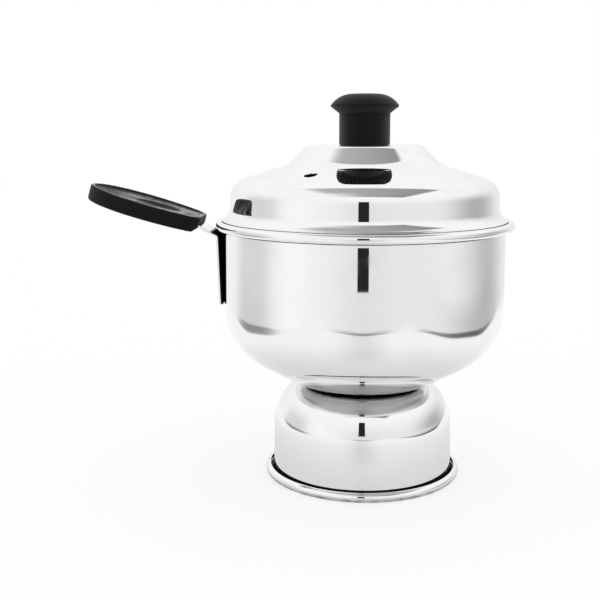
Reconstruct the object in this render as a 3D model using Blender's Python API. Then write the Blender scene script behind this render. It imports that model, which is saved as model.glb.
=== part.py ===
"""Puttu maker: a small steamer that stands on a pressure cooker's steam vent.

A pressed steel bowl stands on an inverted steel cup. Steam rises through a hole in both, through a
loose perforated plate and out of a hole in the domed lid. Metres, +Z up, the table at z = 0.
"""

import math

import bmesh
import bpy
from mathutils import Matrix, Vector

MM = 0.001

# Sheet, fits and facets
SHEET = 0.6 * MM
SEAT_GAP = 0.3 * MM
THREAD_GAP = 0.3 * MM
ROUND_STEPS = 36
SMALL_STEPS = 16
KNOB_STEPS = 24
CURL_STEP = math.radians(30.0)

# Base cup, upside down, with its rolled edge as the foot
BASE_FOOT_RADIUS = 36.7 * MM
BASE_WALL_DRAFT = 0.4 * MM
BASE_SHOULDER_Z = 21.5 * MM
BASE_SHOULDER_WIDTH = 12.3 * MM
BASE_HEIGHT = 38.0 * MM
BASE_CURL_RADIUS = 1.35 * MM
STEAM_HOLE_RADIUS = 8.0 * MM

# Bowl, with its rim rolled outwards
BOWL_FLOOR_RADIUS = 26.5 * MM
BOWL_FLOOR_CORNER = 2.0 * MM
BOWL_SLOPE = math.radians(30.0)
BOWL_BELLY_RADIUS = 25.0 * MM
BOWL_WALL_RADIUS = 56.4 * MM
BOWL_WALL_DRAFT = 0.3 * MM
RIM_TOP = 105.0 * MM
RIM_FLARE = 0.5 * MM
RIM_FLARE_HEIGHT = 1.5 * MM
RIM_CURL_RADIUS = 1.2 * MM

# Loose steam plate
PLATE_RADIUS = 30.0 * MM
PLATE_RIM_DROP = 2.2 * MM
PLATE_CORNER = 1.2 * MM
PLATE_HOLE_RADIUS = 1.25 * MM
PLATE_HOLE_PITCH = 7.5 * MM
PLATE_HOLE_RINGS = 3
PLATE_HOLE_STEPS = 8

# Lid, with heights above the rim
LID_EDGE_INSET = 0.9 * MM
LID_SKIRT_RADIUS = 53.6 * MM
LID_SKIRT_DRAFT = 0.3 * MM
LID_FLARE_HEIGHT = 4.3 * MM
LID_FLARE_CORNER = 1.5 * MM
LID_SHOULDER_HEIGHT = 14.9 * MM
LID_SHOULDER_RADIUS = 8.0 * MM
LID_HOLLOW_RADIUS = 30.4 * MM
LID_HOLLOW_HEIGHT = 21.8 * MM
LID_HOLLOW_CURVE = 12.0 * MM
LID_CROWN_RADIUS = 22.6 * MM
LID_CROWN_CORNER = 4.0 * MM
LID_HEIGHT = 29.6 * MM
LID_VENT_RADIUS = 2.9 * MM
LID_VENT_REACH = 39.0 * MM
LID_VENT_ANGLE = math.radians(240.0)

# Knob and its fastening
KNOB_STEM_RADIUS = 10.1 * MM
KNOB_STEM_HEIGHT = 11.9 * MM
KNOB_CAP_RADIUS = 13.75 * MM
KNOB_CAP_EDGE = 14.75 * MM
KNOB_CAP_ROUND = 0.6 * MM
KNOB_TOP_RADIUS = 9.8 * MM
KNOB_TOP_ROUND = 10.0 * MM
KNOB_HEIGHT = 19.45 * MM
KNOB_FOOT_ROUND = 0.6 * MM
KNOB_INSERT_RADIUS = 3.0 * MM
KNOB_INSERT_LENGTH = 9.0 * MM
KNOB_SCREW_RADIUS = 1.6 * MM
KNOB_SCREW_REACH = 7.5 * MM
SCREW_HEAD_RADIUS = 3.1 * MM
SCREW_HEAD_HEIGHT = 2.0 * MM
SCREW_HEAD_ROUND = 1.1 * MM
WASHER_RADIUS = 5.0 * MM
WASHER_THICKNESS = 0.8 * MM

# Handle strap
STRAP_THICKNESS = 1.2 * MM
STRAP_WIDTH = 16.0 * MM
STRAP_CORNER = 2.0 * MM
STRAP_COLUMNS = 4
STRAP_FOOT_Z = 71.0 * MM
STRAP_BEND_Z = 98.6 * MM
STRAP_STANDOFF = 1.6 * MM
STRAP_BEND_RADIUS = 2.4 * MM
STRAP_TONGUE_RADIUS = 6.0 * MM
STRAP_TONGUE_LENGTH = 16.0 * MM

# Handle grip, placed at the point where the strap enters it
GRIP_REACH = 65.9 * MM
GRIP_Z = 102.4 * MM
GRIP_TILT = math.radians(15.0)
GRIP_LENGTH = 48.4 * MM
GRIP_TIP_LENGTH = 24.4 * MM
GRIP_WIDTH = 36.0 * MM
GRIP_END_WIDTH = 21.0 * MM
GRIP_THICKNESS = 6.2 * MM
GRIP_EDGE_ROUND = 0.8 * MM
GRIP_END_CHAMFER = 3.4 * MM
GRIP_LIP_WIDTH = 1.3 * MM
GRIP_FACE_DEPTH = 0.5 * MM
GRIP_DISH_PLACE = 19.0 * MM
GRIP_DISH_LENGTH = 18.0 * MM
GRIP_DISH_WIDTH = 12.0 * MM
GRIP_DISH_FALL = 0.4 * MM
GRIP_DISH_DEPTH = 0.7 * MM
GRIP_CHANNEL_DEPTH = 3.3 * MM
GRIP_CHANNEL_SPARE = 1.0 * MM
GRIP_SIDE_STEPS = 14
GRIP_END_STEPS = 6
HANDLE_SCREW_PLACE = 7.0 * MM
HANDLE_SCREW_RADIUS = 1.5 * MM
HANDLE_SCREW_REACH = 1.2 * MM
HANDLE_HEAD_RADIUS = 3.0 * MM
HANDLE_HEAD_HEIGHT = 1.1 * MM
HANDLE_HEAD_ROUND = 0.5 * MM
HANDLE_INSERT_RADIUS = 2.6 * MM
HANDLE_INSERT_LENGTH = 1.5 * MM


def clear_scene():
    for thing in list(bpy.data.objects):
        bpy.data.objects.remove(thing, do_unlink=True)


def finish(name, colour, roughness, metallic):
    """A Principled material in one plain colour."""
    made = bpy.data.materials.new(name)
    made.use_nodes = True
    shader = made.node_tree.nodes["Principled BSDF"]
    shader.inputs["Base Color"].default_value = (*colour, 1.0)
    shader.inputs["Roughness"].default_value = roughness
    shader.inputs["Metallic"].default_value = metallic
    made.diffuse_color = (*colour, 1.0)
    return made


def add_object(name, form, parent, material):
    """Turns a bmesh into a smooth-shaded object under its parent."""
    bmesh.ops.recalc_face_normals(form, faces=form.faces)
    mesh = bpy.data.meshes.new(name)
    form.to_mesh(mesh)
    form.free()
    mesh.materials.append(material)
    mesh.shade_smooth()
    mesh.set_sharp_from_angle(angle=math.radians(35.0))
    made = bpy.data.objects.new(name, mesh)
    bpy.context.scene.collection.objects.link(made)
    made.parent = parent
    return made


def add_empty(name, parent=None, place=None):
    made = bpy.data.objects.new(name, None)
    bpy.context.scene.collection.objects.link(made)
    made.parent = parent
    if place is not None:
        made.matrix_local = place
    return made


def cut(target, cutter):
    """Subtracts a cutter, which stays in the file as a wire guide."""
    cutter.hide_render = True
    cutter.display_type = "WIRE"
    knife = target.modifiers.new(cutter.name, "BOOLEAN")
    knife.operation = "DIFFERENCE"
    knife.solver = "EXACT"
    knife.object = cutter


def rounded(corners):
    """A path through (r, z, fillet radius, fillet steps) corners, with each fillet as an arc."""
    path = []
    for index, (r, z, radius, steps) in enumerate(corners):
        corner = Vector((r, z))
        if radius == 0.0:
            path.append(corner)
            continue
        before = (Vector(corners[index - 1][:2]) - corner).normalized()
        after = (Vector(corners[index + 1][:2]) - corner).normalized()
        half = before.angle(after) / 2.0
        centre = corner + (before + after).normalized() * (radius / math.sin(half))
        start = corner + before * (radius / math.tan(half)) - centre
        turn = math.pi - 2.0 * half
        if before.cross(after) > 0.0:
            turn = -turn
        for step in range(steps + 1):
            path.append(centre + Matrix.Rotation(turn * step / steps, 2) @ start)
    return path


def curl(centre, radius, start, turn):
    """A rolled edge: an arc in CURL_STEP facets, with a half facet at each end."""
    facets = round(abs(turn) / CURL_STEP)
    way = math.copysign(1.0, turn)
    angles = [0.0] + [CURL_STEP * (step + 0.5) for step in range(facets)] + [abs(turn)]
    spots = [start + way * angle for angle in angles]
    return [centre + radius * Vector((math.cos(spot), math.sin(spot))) for spot in spots]


def offset(path, distance):
    """The same path moved to its right by a distance, with mitred corners."""
    moved = []
    for index, point in enumerate(path):
        sides = []
        if index > 0:
            sides.append((point - path[index - 1]).normalized())
        if index < len(path) - 1:
            sides.append((path[index + 1] - point).normalized())
        along = sum(sides, Vector((0.0, 0.0))).normalized()
        right = Vector((along.y, -along.x))
        moved.append(point + right * (distance / along.dot(sides[0])))
    return moved


def turned(name, outline, steps, parent, material):
    """Spins a closed outline of (r, z) points about the Z axis."""
    form = bmesh.new()
    points = [form.verts.new((point[0], 0.0, point[1])) for point in outline]
    edges = []
    for one, two in zip(points, points[1:] + points[:1]):
        if one.co.x > 0.0 or two.co.x > 0.0:
            edges.append(form.edges.new((one, two)))
    bmesh.ops.spin(
        form, geom=points + edges, cent=(0, 0, 0), axis=(0, 0, 1), dvec=(0, 0, 0),
        angle=math.tau, steps=steps, use_merge=True, use_duplicate=False,
    )
    bmesh.ops.remove_doubles(form, verts=form.verts, dist=0.002 * MM)
    return add_object(name, form, parent, material)


def sheet_metal(name, path, side, parent, material):
    """A turned shell of sheet: the path is one face and the other lies one sheet to its side."""
    outline = path + offset(path, side * SHEET)[::-1]
    return turned(name, outline, ROUND_STEPS, parent, material)


def cylinder(name, radius, low, high, steps, parent, place=(0.0, 0.0)):
    """A plain upright cutter."""
    form = bmesh.new()
    bmesh.ops.create_cone(
        form, cap_ends=True, segments=steps, radius1=radius, radius2=radius, depth=high - low,
        matrix=Matrix.Translation((*place, (low + high) / 2.0)),
    )
    return add_object(name, form, parent, None)


def curl_height(radius):
    """Half the height of a rolled edge, measured over its flat facets."""
    return radius * math.cos(CURL_STEP / 2.0) + SHEET


def base_cup(parent, steel):
    """The pressed cup: flat top with the steam hole, elliptical shoulder, wall and rolled foot."""
    wall_top = BASE_FOOT_RADIUS - BASE_WALL_DRAFT
    flat = wall_top - BASE_SHOULDER_WIDTH
    rise = BASE_HEIGHT - BASE_SHOULDER_Z
    path = [Vector((STEAM_HOLE_RADIUS, BASE_HEIGHT))]
    steps = 7
    for step in range(steps + 1):
        angle = math.pi / 2.0 * (1.0 - step / steps)
        reach = flat + BASE_SHOULDER_WIDTH * math.cos(angle)
        path.append(Vector((reach, BASE_SHOULDER_Z + rise * math.sin(angle))))
    centre = Vector((BASE_FOOT_RADIUS + BASE_CURL_RADIUS, curl_height(BASE_CURL_RADIUS)))
    path += curl(centre, BASE_CURL_RADIUS, math.pi, math.radians(270.0))
    return sheet_metal("base_cup", path, 1.0, parent, steel)


def bowl_floor():
    return BASE_HEIGHT + SEAT_GAP


def wall_radius(z):
    """The bowl wall's outer radius at a height: it draws in slightly towards the rim."""
    low = bowl_floor()
    return BOWL_WALL_RADIUS - BOWL_WALL_DRAFT * (z - low) / (RIM_TOP - low)


def rim_centre():
    """Middle of the rolled rim."""
    reach = wall_radius(RIM_TOP) + RIM_FLARE + RIM_CURL_RADIUS
    return Vector((reach, RIM_TOP - curl_height(RIM_CURL_RADIUS)))


def steamer_bowl(parent, steel):
    """The pressed bowl: flat floor, sloping bottom, round belly, straight wall, rolled rim."""
    floor = bowl_floor()
    belly = floor + (BOWL_WALL_RADIUS - BOWL_FLOOR_RADIUS) * math.tan(BOWL_SLOPE)
    centre = rim_centre()
    flare_z = centre.y - RIM_CURL_RADIUS - RIM_FLARE_HEIGHT
    path = rounded([
        (STEAM_HOLE_RADIUS, floor, 0.0, 0),
        (BOWL_FLOOR_RADIUS, floor, BOWL_FLOOR_CORNER, 2),
        (BOWL_WALL_RADIUS, belly, BOWL_BELLY_RADIUS, 8),
        (wall_radius(flare_z), flare_z, 0.0, 0),
        (centre.x - RIM_CURL_RADIUS, flare_z + RIM_FLARE_HEIGHT, 0.0, 0),
    ])
    path += curl(centre, RIM_CURL_RADIUS, math.pi, math.radians(-300.0))
    return sheet_metal("steamer_bowl", path, -1.0, parent, steel)


def plate_top():
    """Height of the steam plate's top when its rim rests on the bowl's sloping bottom."""
    slope = bowl_floor() + (PLATE_RADIUS - BOWL_FLOOR_RADIUS) * math.tan(BOWL_SLOPE)
    return slope + (SHEET + SEAT_GAP) / math.cos(BOWL_SLOPE) + PLATE_RIM_DROP


def steam_plate(parent, steel):
    """A loose disc with a turned-down rim, pierced in rings of six, twelve and eighteen holes."""
    top = plate_top()
    path = rounded([
        (0.0, top, 0.0, 0),
        (PLATE_RADIUS, top, PLATE_CORNER, 3),
        (PLATE_RADIUS, top - PLATE_RIM_DROP, 0.0, 0),
    ])
    made = sheet_metal("steam_plate", path, 1.0, parent, steel)
    form = bmesh.new()
    for ring in range(PLATE_HOLE_RINGS + 1):
        for place in range(max(1, 6 * ring)):
            turn = Matrix.Rotation(math.tau * place / max(1, 6 * ring), 4, "Z")
            shift = Matrix.Translation((ring * PLATE_HOLE_PITCH, 0.0, top))
            bmesh.ops.create_cone(
                form, cap_ends=True, segments=PLATE_HOLE_STEPS, radius1=PLATE_HOLE_RADIUS,
                radius2=PLATE_HOLE_RADIUS, depth=4.0 * SHEET, matrix=turn @ shift,
            )
    cut(made, add_object("steam_plate_punches", form, parent, None))
    return made


def lid_top():
    return RIM_TOP + LID_HEIGHT


def lid_edge():
    """The lid's lower edge: its inner corner lies on the inner slope of the rolled rim."""
    rim = rim_centre()
    reach = rim.x - LID_EDGE_INSET
    skirt = Vector((LID_SKIRT_RADIUS, RIM_TOP + LID_FLARE_HEIGHT))
    down = (Vector((reach, RIM_TOP)) - skirt).normalized()
    inner = Vector((reach - SHEET * -down.y, 0.0))
    hold = curl_height(RIM_CURL_RADIUS) + SEAT_GAP
    inner.y = rim.y + math.sqrt(hold**2 - (rim.x - inner.x) ** 2)
    return Vector((reach, inner.y + SHEET * down.x))


def lid_shell(parent, steel):
    """The pressed lid: flat crown, concave slope, round shoulder, skirt and flared edge."""
    edge = lid_edge()
    path = rounded([
        (KNOB_SCREW_RADIUS + THREAD_GAP, lid_top(), 0.0, 0),
        (LID_CROWN_RADIUS, lid_top(), LID_CROWN_CORNER, 4),
        (LID_HOLLOW_RADIUS, RIM_TOP + LID_HOLLOW_HEIGHT, LID_HOLLOW_CURVE, 4),
        (LID_SKIRT_RADIUS - LID_SKIRT_DRAFT, RIM_TOP + LID_SHOULDER_HEIGHT, LID_SHOULDER_RADIUS, 6),
        (LID_SKIRT_RADIUS, RIM_TOP + LID_FLARE_HEIGHT, LID_FLARE_CORNER, 3),
        (edge.x, edge.y, 0.0, 0),
    ])
    made = sheet_metal("lid_shell", path, 1.0, parent, steel)
    place = (LID_VENT_REACH * math.cos(LID_VENT_ANGLE), LID_VENT_REACH * math.sin(LID_VENT_ANGLE))
    punch = cylinder("lid_vent_punch", LID_VENT_RADIUS, RIM_TOP, lid_top(), SMALL_STEPS, parent, place)
    cut(made, punch)
    return made


def lid_knob(parent, bakelite):
    """The moulded knob: a stem, an undercut domed cap and a blind bore for its bush."""
    foot = lid_top() + SEAT_GAP
    bore = KNOB_INSERT_RADIUS + SEAT_GAP
    outline = rounded([
        (0.0, foot + KNOB_INSERT_LENGTH + SEAT_GAP, 0.0, 0),
        (bore, foot + KNOB_INSERT_LENGTH + SEAT_GAP, 0.0, 0),
        (bore, foot, 0.0, 0),
        (KNOB_STEM_RADIUS, foot, KNOB_FOOT_ROUND, 2),
        (KNOB_STEM_RADIUS, foot + KNOB_STEM_HEIGHT, 0.0, 0),
        (KNOB_CAP_RADIUS, foot + KNOB_CAP_EDGE, KNOB_CAP_ROUND, 2),
        (KNOB_TOP_RADIUS, foot + KNOB_HEIGHT, KNOB_TOP_ROUND, 6),
        (0.0, foot + KNOB_HEIGHT, 0.0, 0),
    ])
    return turned("lid_knob", outline, KNOB_STEPS, parent, bakelite)


def ring(name, inner, outer, low, high, parent, material):
    outline = [(inner, low), (outer, low), (outer, high), (inner, high)]
    return turned(name, outline, SMALL_STEPS, parent, material)


def screw(name, shank, reach, head_radius, head_height, head_round, under_head, parent, material):
    """A round-headed screw standing on its head, with the head's seat at the given height."""
    outline = rounded([
        (0.0, reach, 0.0, 0),
        (0.0, under_head - head_height, 0.0, 0),
        (head_radius, under_head - head_height, head_round, 3),
        (head_radius, under_head, 0.0, 0),
        (shank, under_head, 0.0, 0),
        (shank, reach, 0.0, 0),
    ])
    return turned(name, outline, SMALL_STEPS, parent, material)


def knob_fastening(parent, brass, zinc):
    """The bush in the knob, and the washer and screw that hold it from inside the lid."""
    foot = lid_top() + SEAT_GAP
    bore = KNOB_SCREW_RADIUS + THREAD_GAP
    washer_top = lid_top() - SHEET - SEAT_GAP
    under_head = washer_top - WASHER_THICKNESS - SEAT_GAP
    top = foot + KNOB_INSERT_LENGTH
    ring("knob_insert", bore, KNOB_INSERT_RADIUS, foot, top, parent, brass)
    ring("knob_washer", bore, WASHER_RADIUS, washer_top - WASHER_THICKNESS, washer_top, parent, zinc)
    screw(
        "knob_screw", KNOB_SCREW_RADIUS, foot + KNOB_SCREW_REACH, SCREW_HEAD_RADIUS,
        SCREW_HEAD_HEIGHT, SCREW_HEAD_ROUND, under_head, parent, zinc,
    )


def strap_path():
    """The strap's middle line in the handle's upright plane, as distance from the axis and z."""
    half = STRAP_THICKNESS / 2.0
    tilt = Vector((math.cos(GRIP_TILT), math.sin(GRIP_TILT)))
    mouth = Vector((GRIP_REACH, GRIP_Z))
    end = mouth + tilt * STRAP_TONGUE_LENGTH
    foot_reach = wall_radius(STRAP_FOOT_Z) + SEAT_GAP + half
    corner_z = STRAP_FOOT_Z + STRAP_CORNER
    bend_reach = wall_radius(STRAP_BEND_Z) + STRAP_STANDOFF + half
    lean = (bend_reach - foot_reach) / (STRAP_BEND_Z - STRAP_FOOT_Z)
    return rounded([
        (foot_reach, STRAP_FOOT_Z, 0.0, 0),
        (foot_reach + lean * STRAP_CORNER, corner_z, 0.0, 0),
        (bend_reach, STRAP_BEND_Z, STRAP_BEND_RADIUS, 4),
        (mouth.x, mouth.y, STRAP_TONGUE_RADIUS, 3),
        (end.x - tilt.x * STRAP_CORNER, end.y - tilt.y * STRAP_CORNER, 0.0, 0),
        (end.x, end.y, 0.0, 0),
    ])


def handle_bracket(parent, grip_frame, steel):
    """The bent strap: a leg rolled to the bowl's wall, a bend under the rim, a flat tongue."""
    middle = strap_path()
    faces = [offset(middle, -STRAP_THICKNESS / 2.0), offset(middle, STRAP_THICKNESS / 2.0)]
    form = bmesh.new()
    sections = []
    for index, point in enumerate(middle):
        at_end = index in (0, len(middle) - 1)
        half = STRAP_WIDTH / 2.0 - (STRAP_CORNER if at_end else 0.0)
        across = [half * (2.0 * place / STRAP_COLUMNS - 1.0) for place in range(STRAP_COLUMNS + 1)]
        on_leg = point.y < STRAP_BEND_Z - STRAP_BEND_RADIUS
        rows = []
        for face in faces:
            spot = face[index]
            row = []
            for y in across:
                roll = spot.x - math.sqrt(spot.x**2 - y**2) if on_leg else 0.0
                row.append(form.verts.new((roll - spot.x, y, spot.y)))
            rows.append(row)
        sections.append(rows[0] + rows[1][::-1])
    for one, two in zip(sections, sections[1:]):
        for place in range(len(one)):
            after = (place + 1) % len(one)
            form.faces.new((one[place], one[after], two[after], two[place]))
    form.faces.new(sections[0])
    form.faces.new(sections[-1][::-1])
    made = add_object("handle_bracket", form, parent, steel)
    hole = HANDLE_SCREW_RADIUS + THREAD_GAP
    depth = 2.0 * STRAP_THICKNESS
    place = (HANDLE_SCREW_PLACE, 0.0)
    cut(made, cylinder("strap_drill", hole, -depth, depth, SMALL_STEPS, grip_frame, place))
    return made


def grip_outline():
    """The grip's plan: half an ellipse at the tip, a longer one cut square at the bowl's side."""
    middle = GRIP_LENGTH - GRIP_TIP_LENGTH
    side = GRIP_WIDTH / 2.0
    end_turn = math.asin(GRIP_END_WIDTH / GRIP_WIDTH)
    long_axis = middle / math.cos(end_turn)
    half = []
    for step in range(GRIP_SIDE_STEPS + 1):
        angle = math.pi / 2.0 * step / GRIP_SIDE_STEPS
        half.append((middle + GRIP_TIP_LENGTH * math.cos(angle), side * math.sin(angle)))
    for step in range(1, GRIP_END_STEPS + 1):
        angle = math.pi / 2.0 - (math.pi / 2.0 - end_turn) * step / GRIP_END_STEPS
        half.append((middle - long_axis * math.cos(angle), side * math.sin(angle)))
    return half + [(x, -y) for x, y in reversed(half[1:])]


def grip_levels():
    """Height and inset of each level of the grip's side, from its underside to its face."""
    half = STRAP_THICKNESS / 2.0 + SEAT_GAP
    low = half - GRIP_CHANNEL_DEPTH
    high = low + GRIP_THICKNESS
    soft = GRIP_EDGE_ROUND * (1.0 - math.sqrt(0.5))
    return [
        (low, GRIP_EDGE_ROUND),
        (low + soft, soft),
        (low + GRIP_EDGE_ROUND, 0.0),
        (high - GRIP_EDGE_ROUND, 0.0),
        (high - soft, soft),
        (high, GRIP_EDGE_ROUND),
        (high, GRIP_LIP_WIDTH),
        (high - GRIP_FACE_DEPTH, GRIP_LIP_WIDTH + GRIP_FACE_DEPTH),
    ]


def handle_grip(parent, bakelite):
    """The moulded oval plate: raised lip, face that falls to an oval dish, channel underneath."""
    outline = grip_outline()
    middle = GRIP_LENGTH - GRIP_TIP_LENGTH
    levels = grip_levels()
    low = levels[0][0]
    form = bmesh.new()
    loops = []
    for height, inset in levels:
        shrink = 1.0 - inset / (GRIP_WIDTH / 2.0)
        start = max(0.0, GRIP_END_CHAMFER - (height - low))
        loop = []
        for x, y in outline:
            along = max(start, middle + (x - middle) * shrink)
            loop.append(form.verts.new((along, y * shrink, height)))
        loops.append(loop)
    face = levels[-1][0]
    for scale, height in ((1.0, face - GRIP_DISH_FALL), (0.7, face - GRIP_DISH_FALL - GRIP_DISH_DEPTH)):
        loop = []
        for x, y in outline:
            turn = math.atan2(y / GRIP_DISH_WIDTH, (x - GRIP_DISH_PLACE) / GRIP_DISH_LENGTH)
            reach = GRIP_DISH_LENGTH / 2.0 * scale * math.cos(turn)
            aside = GRIP_DISH_WIDTH / 2.0 * scale * math.sin(turn)
            loop.append(form.verts.new((GRIP_DISH_PLACE + reach, aside, height)))
        loops.append(loop)
    for one, two in zip(loops, loops[1:]):
        for place in range(len(one)):
            after = (place + 1) % len(one)
            form.faces.new((one[place], one[after], two[after], two[place]))
    form.faces.new(loops[0][::-1])
    form.faces.new(loops[-1])
    made = add_object("handle_grip", form, parent, bakelite)

    ceiling = STRAP_THICKNESS / 2.0 + SEAT_GAP
    length = STRAP_TONGUE_LENGTH + GRIP_CHANNEL_SPARE
    width = STRAP_WIDTH + 2.0 * SEAT_GAP
    block = bmesh.new()
    size = Vector((2.0 * length, width, 2.0 * GRIP_CHANNEL_DEPTH))
    place = Matrix.Translation((0.0, 0.0, ceiling - GRIP_CHANNEL_DEPTH))
    bmesh.ops.create_cube(block, size=1.0, matrix=place @ Matrix.Diagonal((*size, 1.0)))
    cut(made, add_object("grip_channel", block, parent, None))
    depth = ceiling + HANDLE_INSERT_LENGTH + SEAT_GAP
    radius = HANDLE_INSERT_RADIUS + SEAT_GAP
    place = (HANDLE_SCREW_PLACE, 0.0)
    cut(made, cylinder("grip_pocket", radius, 0.0, depth, SMALL_STEPS, parent, place))
    return made


def handle_fastening(parent, brass, zinc):
    """The bush in the grip and the screw that holds the strap to it from below."""
    place = Matrix.Translation((HANDLE_SCREW_PLACE, 0.0, 0.0))
    seat = add_empty("handle_screw_axis", parent, place)
    ceiling = STRAP_THICKNESS / 2.0 + SEAT_GAP
    bore = HANDLE_SCREW_RADIUS + THREAD_GAP
    top = ceiling + HANDLE_INSERT_LENGTH
    ring("handle_insert", bore, HANDLE_INSERT_RADIUS, ceiling, top, seat, brass)
    screw(
        "handle_screw", HANDLE_SCREW_RADIUS, ceiling + HANDLE_SCREW_REACH, HANDLE_HEAD_RADIUS,
        HANDLE_HEAD_HEIGHT, HANDLE_HEAD_ROUND, -ceiling, seat, zinc,
    )


def centre_footprint(root):
    """Moves the whole model so that its footprint, handle included, is centred on X and Y."""
    bpy.context.view_layer.update()
    corners = []
    for thing in bpy.data.objects:
        if thing.type == "MESH" and not thing.hide_render:
            corners += [thing.matrix_world @ Vector(corner) for corner in thing.bound_box]
    for axis in (0, 1):
        spread = [corner[axis] for corner in corners]
        root.location[axis] -= (min(spread) + max(spread)) / 2.0


def build():
    clear_scene()
    steel = finish("polished_steel", (0.80, 0.80, 0.81), 0.06, 1.0)
    bakelite = finish("black_bakelite", (0.012, 0.012, 0.013), 0.30, 0.0)
    brass = finish("brass", (0.78, 0.58, 0.28), 0.25, 1.0)
    zinc = finish("zinc_plate", (0.66, 0.67, 0.69), 0.28, 1.0)

    bowl_axis = add_empty("bowl_axis")
    lid_axis = add_empty("lid_axis", bowl_axis)
    plate_axis = add_empty("steam_plate_axis", bowl_axis)
    turn = Matrix.Rotation(math.pi, 4, "Z") @ Matrix.Rotation(-GRIP_TILT, 4, "Y")
    grip_frame = add_empty(
        "grip_frame", bowl_axis, Matrix.Translation((-GRIP_REACH, 0.0, GRIP_Z)) @ turn
    )

    base_cup(bowl_axis, steel)
    steamer_bowl(bowl_axis, steel)
    steam_plate(plate_axis, steel)
    lid_shell(lid_axis, steel)
    lid_knob(lid_axis, bakelite)
    knob_fastening(lid_axis, brass, zinc)
    handle_bracket(bowl_axis, grip_frame, steel)
    handle_grip(grip_frame, bakelite)
    handle_fastening(grip_frame, brass, zinc)
    centre_footprint(bowl_axis)


build()
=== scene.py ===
# %% [markdown]
# A small steamer of polished steel
#
# The real thing is made of thin stainless sheet. An upside-down cup stands on the steam vent of a
# pressure cooker, a bowl stands on the cup, and a domed lid with a black moulded knob closes it.
# The CAD model already holds every place and size, in coarse facets. This lesson loads it as a
# fixed frame and puts a finer piece over each CAD node, so nothing here has to be fitted by eye.

# %% Load the CAD model as a frame
import math

import bpy
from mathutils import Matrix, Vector


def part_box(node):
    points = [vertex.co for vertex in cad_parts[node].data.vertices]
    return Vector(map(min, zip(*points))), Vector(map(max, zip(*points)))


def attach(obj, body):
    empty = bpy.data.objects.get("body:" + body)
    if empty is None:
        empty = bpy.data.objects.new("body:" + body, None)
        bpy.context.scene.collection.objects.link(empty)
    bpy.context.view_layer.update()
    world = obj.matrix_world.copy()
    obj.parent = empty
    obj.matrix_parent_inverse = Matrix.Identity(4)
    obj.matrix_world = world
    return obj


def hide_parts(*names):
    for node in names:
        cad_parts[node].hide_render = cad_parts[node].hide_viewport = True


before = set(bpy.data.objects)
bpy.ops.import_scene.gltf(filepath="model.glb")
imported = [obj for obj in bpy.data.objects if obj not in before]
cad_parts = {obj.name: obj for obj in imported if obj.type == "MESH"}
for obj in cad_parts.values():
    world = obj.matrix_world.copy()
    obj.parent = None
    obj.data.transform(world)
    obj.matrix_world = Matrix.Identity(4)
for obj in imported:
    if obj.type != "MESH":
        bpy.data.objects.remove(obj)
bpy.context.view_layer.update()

MM = 0.001
low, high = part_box("base_cup")
axis_x = (low.x + high.x) / 2.0
print(f"the bowl's axis stands at x = {axis_x / MM:.2f} mm")

# %% [markdown]
# The camera
#
# A camera is easiest to match first, because every later step is judged through it. The photograph
# was taken from about 0.4 m with a slightly long lens, looking down by ten degrees. The camera is
# placed by numbers, with no shift of the sensor, so it can be moved round for other views.

# %% Place the camera
CAMERA_DISTANCE = 390.2 * MM
CAMERA_HEIGHT = 141.0 * MM
CAMERA_TURNS = (79.95, 0.13, 3.76)
CAMERA_LENS = 58.116
SENSOR_WIDTH = 36.0

bpy.ops.object.camera_add(
    location=(axis_x, -CAMERA_DISTANCE, CAMERA_HEIGHT),
    rotation=[math.radians(turn) for turn in CAMERA_TURNS],
)
camera = bpy.context.object
camera.name = "camera"
camera.data.lens = CAMERA_LENS
camera.data.sensor_width = SENSOR_WIDTH
camera.data.clip_start = 0.01
bpy.context.scene.camera = camera
print("camera:", [round(value, 3) for value in camera.location])

# %% [markdown]
# Modelling by operators
#
# An operator works on whatever is selected, and the loaded CAD nodes are still selected. So each
# piece starts by selecting nothing. The finished piece keeps its object at the origin, and its
# place is in its mesh, as the CAD nodes have it.

# %% Helpers for starting and finishing a piece
def done_editing():
    bpy.ops.object.mode_set(mode="OBJECT")


def nothing_selected():
    """Back to object mode with no object selected."""
    if bpy.context.mode != "OBJECT":
        done_editing()
    bpy.ops.object.select_all(action="DESELECT")


def pick(piece):
    """Selects one piece and nothing else."""
    nothing_selected()
    piece.select_set(True)
    bpy.context.view_layer.objects.active = piece


def name_piece(name):
    """Names the object that was made last, and its mesh."""
    piece = bpy.context.object
    piece.name = name
    piece.data.name = name
    return piece


def edit(piece, points=None, faces=None):
    """Opens a piece in edit mode, all selected or only the points or faces that pass a test."""
    pick(piece)
    chosen = points or faces
    if chosen:
        mesh = piece.data
        for part in (*mesh.vertices, *mesh.edges, *mesh.polygons):
            part.select = False
        for part in mesh.polygons if faces else mesh.vertices:
            part.select = chosen(part if faces else part.co)
    bpy.ops.object.mode_set(mode="EDIT")
    bpy.ops.mesh.select_mode(type="FACE" if faces else "VERT")
    if not chosen:
        bpy.ops.mesh.select_all(action="SELECT")


def apply_modifier(piece, kind, **settings):
    """Adds a modifier with these settings and applies it at once."""
    pick(piece)
    modifier = piece.modifiers.new(kind.title(), kind)
    for name, value in settings.items():
        setattr(modifier, name, value)
    bpy.ops.object.modifier_apply(modifier=modifier.name)


def put_in_place(piece):
    """Moves a piece's own place, turn and scale into its mesh."""
    pick(piece)
    bpy.ops.object.transform_apply(location=True, rotation=True, scale=True)


def report(piece):
    """Prints a piece's faces, size and height."""
    low = Vector(piece.bound_box[0]) / MM
    high = Vector(piece.bound_box[6]) / MM
    size = " x ".join(f"{value:.1f}" for value in high - low)
    print(f"{piece.name}: {len(piece.data.polygons)} faces, {size} mm, top at {high.z:.2f} mm")


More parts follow.
